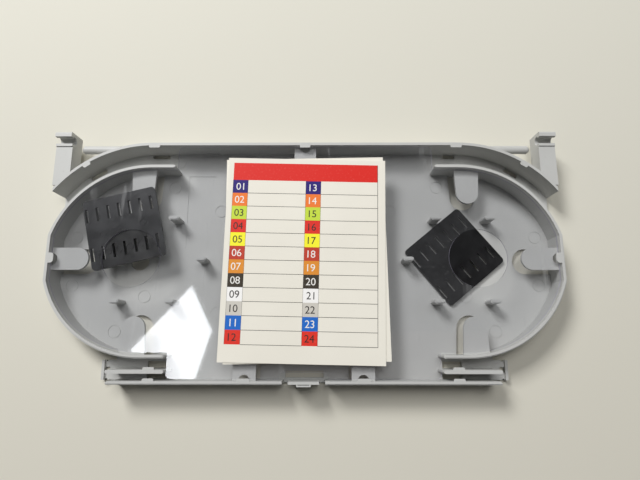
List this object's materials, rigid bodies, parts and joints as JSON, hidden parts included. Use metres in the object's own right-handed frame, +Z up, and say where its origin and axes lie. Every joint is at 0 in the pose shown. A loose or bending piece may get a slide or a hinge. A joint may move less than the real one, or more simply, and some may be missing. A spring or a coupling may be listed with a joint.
{
  "type": "fibre splice tray",
  "caption": "Flat moulded tray with two fibre storage loops, a clear lift-off cover, two slotted splice holders, a label card, hinge hooks and a thumb latch.",
  "frame": {"origin": "on the underside of the floor, midway between the axes of the two storage loops", "axes": "+X along the tray, +Y towards the hinge hooks, +Z up out of the tray"},
  "size_m": [0.1886, 0.0929, 0.013],
  "materials": {
    "tray_plastic": "moulded light grey plastic",
    "clear_plastic": "clear sheet with fine scratches",
    "holder_plastic": "moulded black plastic",
    "card_paper": "printed card"
  },
  "bodies": {
    "root": {"tray": "tray_plastic", "cover": "clear_plastic", "splice_holder_left": "holder_plastic", "splice_holder_right": "holder_plastic", "label_card_under": "card_paper", "label_card": "card_paper"}
  },
  "joints": []
}
